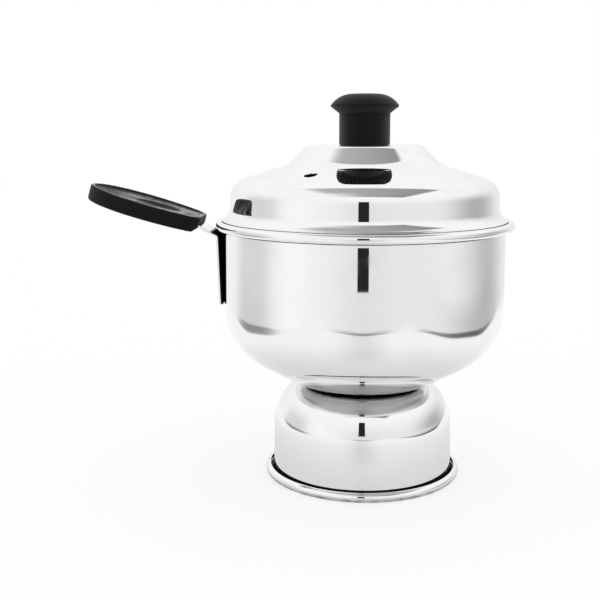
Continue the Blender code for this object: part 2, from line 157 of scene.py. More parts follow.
# %% [markdown]
# Turned shells
#
# The cup, bowl, lid, plate and knob are all round, so each is drawn once as a half section and spun
# about the bowl's axis. The section starts as a plane merged to a single point. Straight runs are
# extruded, and a rounded corner is a spin of that last point about the corner's centre, which gives
# a true arc where a bevel would give a flatter curve. Mirror-polished metal shows the difference.

# %% Draw a half section with one point
ARC_STEP = math.radians(4.0)
TURN_STEPS = 192
MERGE = 0.001 * MM


class Section:
    """A half section in the plane y = 0. Reach is the distance from the bowl's axis."""

    def __init__(self, name, reach, height):
        nothing_selected()
        bpy.ops.mesh.primitive_plane_add(size=MM, location=(axis_x + reach, 0.0, height))
        self.piece = name_piece(name)
        put_in_place(self.piece)
        bpy.ops.object.mode_set(mode="EDIT")
        bpy.ops.mesh.select_mode(type="VERT")
        bpy.ops.mesh.select_all(action="SELECT")
        bpy.ops.mesh.merge(type="CENTER")
        self.tip = Vector((reach, height))

    def line(self, reach, height, parts=1):
        """Extrudes the last point straight to a new place, in equal parts."""
        step = (Vector((reach, height)) - self.tip) / parts
        for _ in range(parts):
            bpy.ops.mesh.extrude_region_move(
                TRANSFORM_OT_translate={"value": (step.x, 0.0, step.y)}
            )
        self.tip = Vector((reach, height))

    def arc(self, reach, height, turn):
        """Spins the last point about a centre, anticlockwise for a positive turn."""
        parts = max(2, math.ceil(abs(turn) / ARC_STEP))
        centre = (axis_x + reach, 0.0, height)
        bpy.ops.mesh.spin(steps=parts, angle=turn, center=centre, axis=(0.0, 1.0, 0.0))
        arm = self.tip - Vector((reach, height))
        swing = Vector((
            arm.x * math.cos(turn) - arm.y * math.sin(turn),
            arm.x * math.sin(turn) + arm.y * math.cos(turn),
        ))
        self.tip = Vector((reach, height)) + swing

    def corner(self, reach, height, radius, after, parts=1):
        """Runs towards a corner and rounds it, on the way to the point after it."""
        corner = Vector((reach, height))
        back = (self.tip - corner).normalized()
        on = (Vector(after) - corner).normalized()
        half = back.angle(on) / 2.0
        start = corner + back * (radius / math.tan(half))
        centre = corner + (back + on).normalized() * (radius / math.sin(half))
        turn = math.pi - 2.0 * half
        self.line(start.x, start.y, parts)
        self.arc(centre.x, centre.y, -turn if back.cross(on) > 0.0 else turn)


def spin_round(section, steps=TURN_STEPS):
    """Spins a half section once round the axis and closes the seam and the poles."""
    piece = section.piece
    edit(piece)
    bpy.ops.mesh.spin(
        steps=steps, angle=math.tau, center=(axis_x, 0.0, 0.0), axis=(0.0, 0.0, 1.0)
    )
    bpy.ops.mesh.select_all(action="SELECT")
    bpy.ops.mesh.remove_doubles(threshold=MERGE)
    bpy.ops.mesh.normals_make_consistent(inside=False)
    done_editing()
    return piece


# %% [markdown]
# Sheet thickness
#
# A pressed piece has one wall thickness all over. The section is therefore only the outer skin, and
# Solidify gives it the sheet's 0.6 mm. That goes wrong if the skin faces inwards, so one band of
# the plain wall is looked at first, and the skin is flipped if need be. A rolled edge won't do for
# that test, because the skin turns its back there. A cut edge of real sheet is never razor sharp: a
# small bevel catches a line of light there. Weighted normals then keep the large faces beside the
# bevel flat, which matters on a mirror finish.

# %% Thicken a skin and soften its edges
SHEET = 0.6 * MM
EDGE_SOFTNESS = 0.12 * MM
SMOOTH_BELOW = math.radians(40.0)


def face_outwards(piece, height):
    """Turns an open skin so that its wall looks away from the axis at this height."""
    wall = min(piece.data.polygons, key=lambda polygon: (
        abs(polygon.center.z - height) - math.hypot(polygon.center.x - axis_x, polygon.center.y)
    ))
    away = Vector((wall.center.x - axis_x, wall.center.y))
    if wall.normal.xy.dot(away) < 0.0:
        edit(piece)
        bpy.ops.mesh.flip_normals()
        done_editing()
        print(piece.name, "was flipped")


def thicken(piece):
    """Gives a skin the sheet's thickness on its inner side."""
    apply_modifier(
        piece, "SOLIDIFY", thickness=SHEET, offset=-1.0, use_even_offset=True,
        use_quality_normals=True, use_rim=True,
    )


def punch(piece, cutter):
    """Cuts one mesh out of another and removes the cutter."""
    apply_modifier(piece, "BOOLEAN", operation="DIFFERENCE", solver="EXACT", object=cutter)
    bpy.data.objects.remove(cutter, do_unlink=True)


def soften(piece, width=EDGE_SOFTNESS, angle=50.0):
    """Rounds the sharp edges, then shades the piece smooth with its large faces kept true."""
    apply_modifier(
        piece, "BEVEL", width=width, segments=2, limit_method="ANGLE",
        angle_limit=math.radians(angle), miter_outer="MITER_ARC",
    )
    pick(piece)
    bpy.ops.object.shade_smooth_by_angle(angle=SMOOTH_BELOW)
    apply_modifier(piece, "WEIGHTED_NORMAL", mode="FACE_AREA", weight=50, keep_sharp=True)
    report(piece)


# %% [markdown]
# The cup
#
# The cup is pressed upside down, so its open mouth is the foot. Its flat top carries the bowl, the
# shoulder below that is a quarter of an ellipse, and the edge is rolled outwards into a bead that
# stiffens it and keeps it from scratching the cooker.

# %% Spin the cup
BASE_HEIGHT = 38.0 * MM
BASE_SHOULDER_Z = 21.5 * MM
BASE_SHOULDER_WIDTH = 12.3 * MM
BASE_WALL_RADIUS = 36.3 * MM
BASE_CURL = Vector((38.05, 1.904)) * MM
BASE_CURL_RADIUS = 1.304 * MM
BASE_CURL_TURN = math.radians(270.0)
BASE_WALL_Z = 12.0 * MM
SHOULDER_PARTS = 24
STEAM_HOLE_RADIUS = 8.0 * MM

section = Section("pressed_cup", STEAM_HOLE_RADIUS, BASE_HEIGHT)
flat = BASE_WALL_RADIUS - BASE_SHOULDER_WIDTH
section.line(flat, BASE_HEIGHT, parts=8)
for part in range(1, SHOULDER_PARTS + 1):
    angle = math.pi / 2.0 * (1.0 - part / SHOULDER_PARTS)
    section.line(
        flat + BASE_SHOULDER_WIDTH * math.cos(angle),
        BASE_SHOULDER_Z + (BASE_HEIGHT - BASE_SHOULDER_Z) * math.sin(angle),
    )
section.line(BASE_CURL.x - BASE_CURL_RADIUS, BASE_CURL.y, parts=10)
section.arc(*BASE_CURL, BASE_CURL_TURN)
cup = spin_round(section)
face_outwards(cup, BASE_WALL_Z)
thicken(cup)
soften(cup)

# %% [markdown]
# The bowl
#
# The bowl's section runs from the steam hole over a flat floor, softly up into a sloping bottom,
# round a wide belly and up a nearly straight wall. The rim is rolled outwards almost into a closed
# bead. The lid's edge drops onto the inner side of that bead, which centres it.

# %% Spin the bowl
BOWL_FLOOR_Z = 38.3 * MM
BOWL_FLOOR_RADIUS = 26.5 * MM
BOWL_FLOOR_CORNER = 18.0 * MM
BOWL_SLOPE = math.radians(30.0)
BOWL_BELLY_RADIUS = 25.0 * MM
BOWL_WALL_RADIUS = 56.4 * MM
RIM_FLARE_Z = 101.2 * MM
RIM_FLARE_RADIUS = 56.12 * MM
RIM_CURL = Vector((57.8, 103.241)) * MM
RIM_CURL_RADIUS = 1.158 * MM
RIM_CURL_TURN = math.radians(-300.0)
BOWL_WALL_Z = 85.0 * MM

belly_z = BOWL_FLOOR_Z + (BOWL_WALL_RADIUS - BOWL_FLOOR_RADIUS) * math.tan(BOWL_SLOPE)
section = Section("pressed_bowl", STEAM_HOLE_RADIUS, BOWL_FLOOR_Z)
section.corner(
    BOWL_FLOOR_RADIUS, BOWL_FLOOR_Z, BOWL_FLOOR_CORNER, (BOWL_WALL_RADIUS, belly_z), parts=8
)
section.corner(
    BOWL_WALL_RADIUS, belly_z, BOWL_BELLY_RADIUS, (RIM_FLARE_RADIUS, RIM_FLARE_Z), parts=6
)
section.line(RIM_FLARE_RADIUS, RIM_FLARE_Z, parts=12)
section.line(RIM_CURL.x - RIM_CURL_RADIUS, RIM_CURL.y - RIM_CURL_RADIUS, parts=2)
section.line(RIM_CURL.x - RIM_CURL_RADIUS, RIM_CURL.y)
section.arc(*RIM_CURL, RIM_CURL_TURN)
bowl = spin_round(section)
face_outwards(bowl, BOWL_WALL_Z)
thicken(bowl)
soften(bowl)

# %% [markdown]
# The lid
#
# The lid is one pressing too: a flat crown under the knob, a hollow slope, a round shoulder, a
# short skirt and a flared edge. The flare is hollow as well: a straight cone would mirror one patch
# of the roof all over, while a hollow one squeezes the roof into a thin grey line. One small hole
# in the slope lets the steam out. It is punched after the sheet has its thickness, as a press does
# it, so the hole shows a real edge.

# %% Spin the lid and punch its vent
LID_TOP = 134.6 * MM
LID_SCREW_HOLE = 1.9 * MM
LID_CROWN_RADIUS = 22.6 * MM
LID_CROWN_ROUND = 4.0 * MM
LID_HOLLOW = (30.4 * MM, 126.8 * MM)
LID_HOLLOW_ROUND = 12.0 * MM
LID_SHOULDER = (53.3 * MM, 119.9 * MM)
LID_SHOULDER_ROUND = 8.0 * MM
LID_SKIRT = Vector((53.6, 109.3)) * MM
LID_SKIRT_Z = 114.0 * MM
LID_EDGE = Vector((56.9, 105.146)) * MM
LID_FLARE_BEND = math.radians(28.0)
LID_VENT_RADIUS = 2.6 * MM
LID_VENT_REACH = 39.0 * MM
LID_VENT_ANGLE = math.radians(240.0)

section = Section("domed_lid", LID_SCREW_HOLE, LID_TOP)
section.corner(LID_CROWN_RADIUS, LID_TOP, LID_CROWN_ROUND, LID_HOLLOW, parts=8)
section.corner(*LID_HOLLOW, LID_HOLLOW_ROUND, LID_SHOULDER, parts=3)
section.corner(*LID_SHOULDER, LID_SHOULDER_ROUND, LID_SKIRT, parts=6)
section.line(*LID_SKIRT, parts=4)
flare = LID_EDGE - LID_SKIRT
bend_radius = flare.length / (2.0 * math.sin(LID_FLARE_BEND))
aside = Vector((-flare.y, flare.x)).normalized() * bend_radius * math.cos(LID_FLARE_BEND)
section.arc(*((LID_SKIRT + LID_EDGE) / 2.0 + aside), 2.0 * LID_FLARE_BEND)
lid = spin_round(section)
face_outwards(lid, LID_SKIRT_Z)
thicken(lid)

nothing_selected()
bpy.ops.mesh.primitive_cylinder_add(
    vertices=64, radius=LID_VENT_RADIUS, depth=20.0 * MM,
    location=(
        axis_x + LID_VENT_REACH * math.cos(LID_VENT_ANGLE),
        LID_VENT_REACH * math.sin(LID_VENT_ANGLE), LID_TOP - 10.0 * MM,
    ),
)
punch(lid, bpy.context.object)
soften(lid)

# %% [markdown]
# The loose steam plate
#
# A disc with a turned-down rim lies low in the bowl and keeps the flour off the steam hole. It has
# rings of six, twelve and eighteen holes round one in the middle. One punch is modelled, copied to
# every hole and joined, so a single Boolean makes all thirty-seven.

# %% Spin the steam plate and punch it
PLATE_RADIUS = 30.0 * MM
PLATE_RIM_DROP = 2.2 * MM
PLATE_CORNER = 1.2 * MM
PLATE_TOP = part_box("steam_plate")[1].z
PLATE_HOLE_RADIUS = 1.25 * MM
PLATE_HOLE_PITCH = 7.5 * MM
PLATE_HOLE_RINGS = 3

section = Section("pierced_plate", 0.0, PLATE_TOP)
rim = (PLATE_RADIUS, PLATE_TOP - PLATE_RIM_DROP)
section.corner(PLATE_RADIUS, PLATE_TOP, PLATE_CORNER, rim, parts=10)
section.line(*rim)
plate = spin_round(section, steps=96)
face_outwards(plate, rim[1])
thicken(plate)

nothing_selected()
punches = []
for ring in range(PLATE_HOLE_RINGS + 1):
    holes = max(1, 6 * ring)
    for hole in range(holes):
        turn = math.tau * hole / holes
        bpy.ops.mesh.primitive_cylinder_add(
            vertices=24, radius=PLATE_HOLE_RADIUS, depth=4.0 * SHEET,
            location=(
                axis_x + ring * PLATE_HOLE_PITCH * math.cos(turn),
                ring * PLATE_HOLE_PITCH * math.sin(turn), PLATE_TOP,
            ),
        )
        punches.append(bpy.context.object)
nothing_selected()
for cutter in punches:
    cutter.select_set(True)
bpy.context.view_layer.objects.active = punches[0]
bpy.ops.object.join()
punch(plate, punches[0])
soften(plate, width=0.08 * MM)
print("holes in the plate:", len(punches))

# %% [markdown]
# The knob
#
# The knob is moulded in one piece: a plain stem and a cap that overhangs it, so that it can be
# lifted with two fingers. Its underside has a blind bore, and a brass bush sits in it.

# %% Spin the knob
KNOB_FOOT_Z = 134.66 * MM
KNOB_BORE_RADIUS = 3.3 * MM
KNOB_BORE_TOP = 144.2 * MM
KNOB_FOOT = (10.1 * MM, KNOB_FOOT_Z)
KNOB_FOOT_ROUND = 0.3 * MM
KNOB_NECK = (10.1 * MM, 146.8 * MM)
KNOB_NECK_ROUND = 0.4 * MM
CAP_EDGE = (13.75 * MM, 149.65 * MM)
CAP_EDGE_ROUND = 0.6 * MM
CAP_TOP = (9.8 * MM, 154.34 * MM)
CAP_TOP_ROUND = 10.0 * MM

section = Section("moulded_knob", 0.0, KNOB_BORE_TOP)
section.line(KNOB_BORE_RADIUS, KNOB_BORE_TOP)
section.line(KNOB_BORE_RADIUS, KNOB_FOOT_Z)
section.corner(*KNOB_FOOT, KNOB_FOOT_ROUND, KNOB_NECK, parts=3)
section.corner(*KNOB_NECK, KNOB_NECK_ROUND, CAP_EDGE, parts=6)
section.corner(*CAP_EDGE, CAP_EDGE_ROUND, CAP_TOP, parts=2)
section.corner(*CAP_TOP, CAP_TOP_ROUND, (0.0, CAP_TOP[1]))
section.line(0.0, CAP_TOP[1], parts=2)
knob = spin_round(section, steps=128)
soften(knob, width=0.15 * MM)

# %% [markdown]
# The bent strap
#
# The handle hangs on one strip of thicker sheet: a flat leg along the bowl's wall, a bend under the
# rim and a tongue that rises into the grip. Its middle line is drawn with the same half section on
# the side away from the handle, pulled out to the strip's width and widened down its leg, and the
# finished strap is turned half round the bowl. A vertex bevel rounds its four end corners before it
# has any thickness. The leg is spot welded to the wall, and the welder's tip leaves two shallow
# dents, each pressed in with a large ball.

# %% Draw the strap's middle line and pull it to its width
STRAP_THICKNESS = 1.2 * MM
STRAP_WIDTH = 16.0 * MM
LEG_WIDTH = 20.0 * MM
STRAP_CORNER = 2.0 * MM
STRAP_FOOT = Vector((57.15, 71.0)) * MM
STRAP_BEND = Vector((58.33, 98.6)) * MM
STRAP_BEND_RADIUS = 2.4 * MM
GRIP_MOUTH = Vector((65.9, 102.4)) * MM
GRIP_TILT = math.radians(16.3)
TONGUE_RADIUS = 6.0 * MM
TONGUE_LENGTH = 16.0 * MM

tongue = Vector((math.cos(GRIP_TILT), math.sin(GRIP_TILT)))
tongue_end = GRIP_MOUTH + tongue * TONGUE_LENGTH
section = Section("bent_strap", *STRAP_FOOT)
section.corner(*STRAP_BEND, STRAP_BEND_RADIUS, GRIP_MOUTH)
section.corner(*GRIP_MOUTH, TONGUE_RADIUS, tongue_end)
section.line(*tongue_end)
strap = section.piece
bpy.ops.mesh.select_all(action="SELECT")
bpy.ops.transform.translate(value=(0.0, -STRAP_WIDTH / 2.0, 0.0))
bpy.ops.mesh.extrude_region_move(TRANSFORM_OT_translate={"value": (0.0, STRAP_WIDTH, 0.0)})
done_editing()
edit(strap, lambda point: point.z < STRAP_BEND.y - STRAP_BEND_RADIUS)
bpy.ops.transform.resize(value=(1.0, LEG_WIDTH / STRAP_WIDTH, 1.0), center_override=(0.0, 0.0, 0.0))
done_editing()


def at_strap_end(point):
    """True for the corners of the leg's foot and of the tongue's tip."""
    end = min(abs(point.z - STRAP_FOOT.y), abs(point.x - axis_x - tongue_end.x))
    return end < 0.1 * MM


edit(strap, at_strap_end)
bpy.ops.mesh.bevel(affect="VERTICES", offset=STRAP_CORNER, segments=6, profile=0.5)
done_editing()
report(strap)

# %% Thicken the strap, drill it and press its two weld marks
SCREW_PLACE = 7.0 * MM
STRAP_HOLE_RADIUS = 1.8 * MM
WELD_HEIGHTS = (77.0 * MM, 88.0 * MM)
WELD_BALL = 6.0 * MM
WELD_DEPTH = 0.15 * MM

edit(strap)
bpy.ops.mesh.normals_make_consistent(inside=False)
done_editing()
apply_modifier(
    strap, "SOLIDIFY", thickness=STRAP_THICKNESS, offset=0.0, use_even_offset=True, use_rim=True,
)
hole = GRIP_MOUTH + tongue * SCREW_PLACE
nothing_selected()
bpy.ops.mesh.primitive_cylinder_add(
    vertices=48, radius=STRAP_HOLE_RADIUS, depth=6.0 * STRAP_THICKNESS,
    location=(axis_x + hole.x, 0.0, hole.y), rotation=(0.0, -GRIP_TILT, 0.0),
)
punch(strap, bpy.context.object)
leg = STRAP_BEND - STRAP_FOOT
for height in WELD_HEIGHTS:
    up_leg = (height - STRAP_FOOT.y) / leg.y
    face = STRAP_FOOT.x + leg.x * up_leg + STRAP_THICKNESS / 2.0
    nothing_selected()
    bpy.ops.mesh.primitive_uv_sphere_add(
        segments=48, ring_count=32, radius=WELD_BALL,
        location=(axis_x + face + WELD_BALL - WELD_DEPTH, 0.0, height),
    )
    punch(strap, bpy.context.object)
edit(strap)
bpy.ops.transform.rotate(value=math.pi, orient_axis="Z", center_override=(axis_x, 0.0, 0.0))
done_editing()
soften(strap)

# %% [markdown]
# The grip
#
# The grip is a moulded oval plate. A filled circle is stretched by halves into the long and the
# short half of the oval and cut square at the bowl's end. A few more cuts, each along a tangent of
# one small circle, round that end's corners, and the plate is pulled up to its thickness. The face
# is then inset step by step, so that it falls from a narrow lip into a shallow basin. It is drawn
# flat, with its mouth at the origin, and is tilted into place when it is finished.

# %% Shape the grip from a filled circle
GRIP_LENGTH = 47.4 * MM
GRIP_TIP_LENGTH = 23.4 * MM
GRIP_WIDTH = 36.0 * MM
GRIP_END_WIDTH = 21.0 * MM
GRIP_LOW = -2.4 * MM
GRIP_HIGH = 3.8 * MM
GRIP_EDGE_ROUND = 0.8 * MM
GRIP_END_CHAMFER = 2.0 * MM
GRIP_CORNER_ROUND = 6.0 * MM
GRIP_CORNER_SLOPE = math.radians(33.4)
GRIP_CORNER_CUTS = 7
CLEAR = 0.01 * MM

grip_middle = GRIP_LENGTH - GRIP_TIP_LENGTH
end_axis = grip_middle / math.cos(math.asin(GRIP_END_WIDTH / GRIP_WIDTH))
centre = (grip_middle, 0.0, GRIP_LOW)
nothing_selected()
bpy.ops.mesh.primitive_circle_add(
    vertices=144, radius=GRIP_WIDTH / 2.0, fill_type="NGON", location=centre
)
grip = name_piece("moulded_grip")
put_in_place(grip)
edit(grip, lambda point: point.x > grip_middle + CLEAR)
bpy.ops.transform.resize(
    value=(2.0 * GRIP_TIP_LENGTH / GRIP_WIDTH, 1.0, 1.0), center_override=centre
)
edit(grip, lambda point: point.x < grip_middle - CLEAR)
bpy.ops.transform.resize(value=(2.0 * end_axis / GRIP_WIDTH, 1.0, 1.0), center_override=centre)
bpy.ops.mesh.select_all(action="SELECT")
bpy.ops.mesh.bisect(plane_co=(0.0, 0.0, 0.0), plane_no=(1.0, 0.0, 0.0), clear_inner=True)
fall = (1.0 - math.sin(GRIP_CORNER_SLOPE)) / math.cos(GRIP_CORNER_SLOPE)
corner = Vector((GRIP_CORNER_ROUND, GRIP_END_WIDTH / 2.0 - GRIP_CORNER_ROUND * fall, GRIP_LOW))
for cut in range(1, GRIP_CORNER_CUTS + 1):
    turn = (math.pi / 2.0 - GRIP_CORNER_SLOPE) * cut / (GRIP_CORNER_CUTS + 1)
    for side in (-1.0, 1.0):
        away = Vector((-math.cos(turn), side * math.sin(turn), 0.0))
        touch = Vector((corner.x, side * corner.y, corner.z)) + away * GRIP_CORNER_ROUND
        bpy.ops.mesh.select_all(action="SELECT")
        bpy.ops.mesh.bisect(plane_co=touch, plane_no=away, clear_outer=True, threshold=MERGE)
bpy.ops.mesh.select_all(action="SELECT")
bpy.ops.mesh.extrude_region_move(
    TRANSFORM_OT_translate={"value": (0.0, 0.0, GRIP_HIGH - GRIP_LOW)}
)
bpy.ops.mesh.select_all(action="SELECT")
bpy.ops.mesh.normals_make_consistent(inside=False)
done_editing()
report(grip)

# %% Round the grip's rims and sink its face
# Each step towards the middle of the face: how far in, and how far down, in millimetres
FACE_STEPS = [
    (0.65, 0.0), (0.15, 0.12), (0.2, 0.26), (0.15, 0.12), (1.4, 0.16), (1.4, 0.16), (1.2, 0.12),
]
SHARP = math.radians(60.0)
LARGE_FACE = 1e-4

edit(grip)
bpy.ops.mesh.select_mode(type="EDGE")
bpy.ops.mesh.select_all(action="DESELECT")
bpy.ops.mesh.edges_select_sharp(sharpness=SHARP)
bpy.ops.mesh.bevel(affect="EDGES", offset=GRIP_EDGE_ROUND, segments=5, profile=0.5)
done_editing()
edit(grip, faces=lambda polygon: polygon.normal.z > 0.99 and polygon.area > LARGE_FACE)
for width, fall in FACE_STEPS:
    bpy.ops.mesh.inset(thickness=width * MM, depth=-fall * MM)
bpy.ops.mesh.select_all(action="SELECT")
bpy.ops.mesh.bisect(
    plane_co=(GRIP_END_CHAMFER, 0.0, GRIP_LOW), plane_no=(1.0, 0.0, 1.0), clear_inner=True,
    use_fill=True,
)
done_editing()
face_z = GRIP_HIGH - sum(fall for width, fall in FACE_STEPS) * MM
print(f"the middle of the face lies {(GRIP_HIGH - face_z) / MM:.2f} mm below the lip")

# %% Press the thumb dish and cut the channel and the screw pocket
DISH_PLACE = 19.0 * MM
DISH_SIZE = Vector((19.2, 12.8, 6.0)) * MM
DISH_DEPTH = 0.8 * MM
CHANNEL_CEILING = 0.9 * MM
CHANNEL_WIDTH = 16.6 * MM
CHANNEL_LENGTH = 17.0 * MM
CHANNEL_BLOCK = 10.0 * MM
POCKET_RADIUS = 2.9 * MM
POCKET_TOP = 2.7 * MM

nothing_selected()
bpy.ops.mesh.primitive_uv_sphere_add(
    segments=128, ring_count=96, radius=1.0, scale=DISH_SIZE,
    location=(DISH_PLACE, 0.0, face_z - DISH_DEPTH + DISH_SIZE.z),
)
punch(grip, bpy.context.object)
nothing_selected()
bpy.ops.mesh.primitive_cube_add(
    size=1.0, scale=(2.0 * CHANNEL_LENGTH, CHANNEL_WIDTH, CHANNEL_BLOCK),
    location=(0.0, 0.0, CHANNEL_CEILING - CHANNEL_BLOCK / 2.0),
)
punch(grip, bpy.context.object)
nothing_selected()
bpy.ops.mesh.primitive_cylinder_add(
    vertices=64, radius=POCKET_RADIUS, depth=POCKET_TOP,
    location=(SCREW_PLACE, 0.0, POCKET_TOP / 2.0),
)
punch(grip, bpy.context.object)

# %% Tilt the grip into its place
def place_on_strap(piece):
    """Moves a piece drawn at the origin to the mouth of the grip, tilted like the tongue."""
    piece.location = (axis_x - GRIP_MOUTH.x, 0.0, GRIP_MOUTH.y)
    piece.rotation_euler = (0.0, -GRIP_TILT, math.pi)
    put_in_place(piece)


place_on_strap(grip)
soften(grip, width=0.1 * MM, angle=35.0)

# %% [markdown]
# Screws and a washer
#
# Two small pan-head screws hold the knob and the grip. A screw is one more spun section; what makes
# it read as a screw is the cross in its head. The cross is cut with two blocks that narrow towards
# their ends, as the tip of a driver does.

# %% Spin a screw and cut its cross
CROSS_LENGTH = 1.05
CROSS_WIDTH = 0.22
CROSS_DEPTH = 0.6
CROSS_NARROWS = 0.5
SHANK_ROUND = 0.3 * MM


def spun_screw(name, shank, top, head, seat, head_height, head_round):
    """A pan-head screw that stands on its head on the bowl's axis."""
    low = seat - head_height
    section = Section(name, 0.0, top)
    section.corner(shank, top, SHANK_ROUND, (shank, seat))
    section.line(shank, seat)
    section.line(head, seat)
    section.corner(head, low, head_round, (0.0, low), parts=2)
    section.line(0.0, low, parts=2)
    made = spin_round(section, steps=64)
    blocks = []
    for turn in (0.0, math.pi / 2.0):
        nothing_selected()
        bpy.ops.mesh.primitive_cube_add(
            size=1.0, location=(axis_x, 0.0, low), rotation=(0.0, 0.0, turn),
            scale=(CROSS_LENGTH * head, CROSS_WIDTH * head, 2.0 * CROSS_DEPTH * head_height),
        )
        block = bpy.context.object
        put_in_place(block)
        edit(block, lambda point: point.z > low)
        bpy.ops.transform.resize(
            value=(CROSS_NARROWS, CROSS_NARROWS, 1.0), center_override=(axis_x, 0.0, low)
        )
        done_editing()
        blocks.append(block)
    for block in blocks:
        punch(made, block)
    return made


knob_screw = spun_screw(
    "pan_head_knob_screw", shank=1.6 * MM, top=142.4 * MM, head=3.1 * MM,
    seat=132.6 * MM, head_height=2.0 * MM, head_round=1.1 * MM,
)
soften(knob_screw, width=0.05 * MM)
strap_screw = spun_screw(
    "pan_head_strap_screw", shank=1.5 * MM, top=2.1 * MM, head=3.0 * MM,
    seat=-0.9 * MM, head_height=1.1 * MM, head_round=0.5 * MM,
)
edit(strap_screw)
bpy.ops.transform.translate(value=(SCREW_PLACE - axis_x, 0.0, 0.0))
done_editing()
place_on_strap(strap_screw)
soften(strap_screw, width=0.05 * MM)

# %% Spin the washer under the knob screw
WASHER_HOLE = 1.9 * MM
WASHER_RADIUS = 5.0 * MM
WASHER_TOP = 133.7 * MM
WASHER_LOW = 132.9 * MM

section = Section("plain_washer", WASHER_HOLE, WASHER_TOP)
section.line(WASHER_RADIUS, WASHER_TOP)
section.line(WASHER_RADIUS, WASHER_LOW)
section.line(WASHER_HOLE, WASHER_LOW)
section.line(WASHER_HOLE, WASHER_TOP)
washer = spin_round(section, steps=64)
soften(washer, width=0.08 * MM)

# %% [markdown]
# Sums in a shader
#
# A shader is a formula, and a formula is easier to read as a sum than as a net of nodes. The small
# class below wraps one output of a node and answers to the ordinary signs, so each sign adds one
# Math node. Everything that isn't a sum goes through one method, which adds any node by its type.

# %% Write shader sums as ordinary arithmetic
class Field:
    """One output of a node, which can be added, scaled and so on."""

    def __init__(self, graph, socket):
        self.graph = graph
        self.socket = socket

    def maths(self, operation, *inputs):
        return self.graph.node("Math", inputs, operation=operation)

    def __add__(self, other):
        return self.maths("ADD", self, other)

    def __sub__(self, other):
        return self.maths("SUBTRACT", self, other)

    def __mul__(self, other):
        return self.maths("MULTIPLY", self, other)

    def __truediv__(self, other):
        return self.maths("DIVIDE", self, other)

    def __pow__(self, other):
        return self.maths("POWER", self, other)

    def __rsub__(self, other):
        return self.maths("SUBTRACT", other, self)

    def __rtruediv__(self, other):
        return self.maths("DIVIDE", other, self)

    def __abs__(self):
        return self.maths("ABSOLUTE", self)

    __radd__ = __add__
    __rmul__ = __mul__

    def between(self, low, high):
        """0 below low, 1 above high, and a smooth step from one to the other."""
        return self.graph.node(
            "MapRange", (self, low, high, 0.0, 1.0), interpolation_type="SMOOTHSTEP"
        )


class Graph:
    """A node tree being built, from a material or from the world."""

    def __init__(self, owner):
        owner.use_nodes = True
        self.tree = owner.node_tree
        self.tree.nodes.clear()

    def node(self, kind, inputs=(), output=0, **settings):
        """Adds a node, sets or links its inputs by place or by name, and returns one output."""
        made = self.tree.nodes.new("ShaderNode" + kind)
        for name, value in settings.items():
            setattr(made, name, value)
        pairs = inputs.items() if isinstance(inputs, dict) else enumerate(inputs)
        for key, value in pairs:
            if isinstance(value, Field):
                self.tree.links.new(value.socket, made.inputs[key])
            elif value is not None:
                made.inputs[key].default_value = value
        return Field(self, made.outputs[output])

    def vector(self, operation, *inputs, output=0):
        return self.node("VectorMath", inputs, output, operation=operation)

    def mix(self, amount, one, two):
        """A colour between two colours."""
        return self.node(
            "Mix", {0: amount, 6: one, 7: two}, output=2, data_type="RGBA", clamp_factor=True
        )

    def noise(self, place, scale, detail=2.0):
        return self.node("TexNoise", {"Vector": place, "Scale": scale, "Detail": detail})

    def part(self, vector, axis):
        """One coordinate of a vector."""
        return self.node("SeparateXYZ", (vector,), output=axis)

    def bump(self, height):
        """The normal of a surface with this height on it, in metres."""
        inputs = {"Height": height, "Distance": 1.0, "Strength": 1.0}
        return self.node("Bump", inputs, output="Normal")

    def facing(self):
        """0 where the surface is seen straight on, and 1 where it turns away."""
        return self.node("LayerWeight", {"Blend": 0.5}, output="Facing")

    def surface(self, shader, kind="OutputMaterial"):
        """Ends the tree with this shader."""
        end = self.tree.nodes.new("ShaderNode" + kind)
        self.tree.links.new(shader.socket, end.inputs["Surface"])


def grey(level):
    return (level, level, level, 1.0)


print("shader sums are ready")

# %% [markdown]
# Polished steel
#
# Polished steel has almost no colour of its own. What tells it from a chrome ball is small: faint
# rings from the polishing wheel, a slow waviness of the pressed sheet, and smudges that are a
# little rougher than the rest. The narrow folds beside the rolled edges and the back of the strap
# get black painted shade, and the bowl's bottom is rougher and has painted shade, less of it at a
# shallow angle. The foot gets streaky painted shade where it stands. A metal shader can't be black
# at a shallow angle, so the black shade is a black diffuse shader mixed in. All of it is a function
# of the place on the object, measured from the bowl's axis, so one material fits every pressed
# piece and moves with it.

# %% Find the places that get black painted shade
# Each fold of black painted shade in millimetres: its distance from the axis, its height, its size,
# how uneven its border is, and how far from the axis it starts, so that the inside of the sheet
# stays bright
SHEET_FOLDS = [
    (36.9, 2.6, 1.6, 0.6, 36.45), (56.3, 102.0, 1.05, 0.1, 55.95), (56.75, 104.3, 0.6, 0.1, 55.95),
]
CRINKLE = 1.1 * MM
STRAP_BACK = (0.08 * MM, 0.18 * MM)
STRAP_LEAVES_RIM = (60.3 * MM, 61.8 * MM)


def from_axis(graph):
    """The place on the object, counted from the bowl's axis."""
    return graph.vector("SUBTRACT", graph.node("TexCoord", output="Object"), (axis_x, 0.0, 0.0))


def reach_of(graph, place):
    """How far a place is from the bowl's axis."""
    flat = graph.vector("MULTIPLY", place, (1.0, 1.0, 0.0))
    return graph.vector("LENGTH", flat, output="Value")


